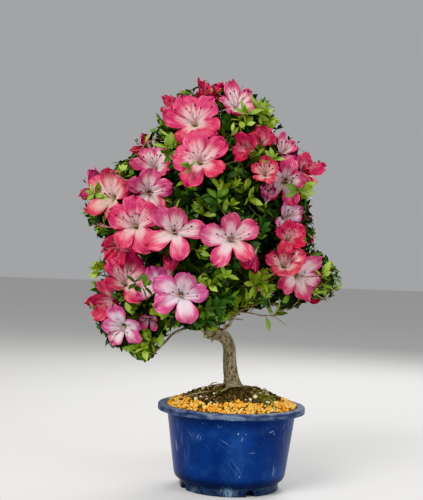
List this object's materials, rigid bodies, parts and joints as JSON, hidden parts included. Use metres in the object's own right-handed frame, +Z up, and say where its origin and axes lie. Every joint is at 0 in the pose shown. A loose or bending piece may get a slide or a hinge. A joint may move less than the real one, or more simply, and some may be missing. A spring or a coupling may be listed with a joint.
{
  "type": "potted azalea bonsai",
  "caption": "Flowering azalea bonsai: a leaning tapered trunk, a full crown of narrow leaves and open pink and white blooms, in a round blue plastic pot filled with grit.",
  "frame": {"origin": "on the surface that the pot stands on, under the middle of the whole plant's box", "axes": "+Z up, the longest way; -Y towards the show side, +X to the right seen from there"},
  "size_m": [0.3257, 0.2759, 0.5013],
  "materials": {
    "blue_plastic": "scuffed satin",
    "soil": "rough granular",
    "bark": "fissured bark",
    "foliage": "satin leaf"
  },
  "bodies": {
    "root": {"pot": "blue_plastic", "soil": "soil", "trunk": "bark", "leader": "bark", "bough_low_left": "bark", "bough_droop_left": "bark", "bough_low_front": "bark", "bough_low_middle": "bark", "bough_low_right": "bark", "bough_back_low": "bark", "bough_mid_left": "bark", "bough_mid_front": "bark", "bough_mid_right": "bark", "bough_back_left": "bark", "bough_back_right": "bark", "bough_upper_left": "bark", "bough_upper_front": "bark", "bough_upper_right": "bark", "bough_back_upper": "bark", "mass_low_left": "foliage", "mass_droop_left": "foliage", "mass_low_front": "foliage", "mass_low_middle": "foliage", "mass_low_right": "foliage", "mass_mid_left": "foliage", "mass_mid_front": "foliage", "mass_mid_right": "foliage", "mass_upper_left": "foliage", "mass_upper_front": "foliage", "mass_upper_right": "foliage", "mass_top": "foliage", "mass_back_low": "foliage", "mass_back_left": "foliage", "mass_back_right": "foliage", "mass_back_upper": "foliage"}
  },
  "joints": []
}
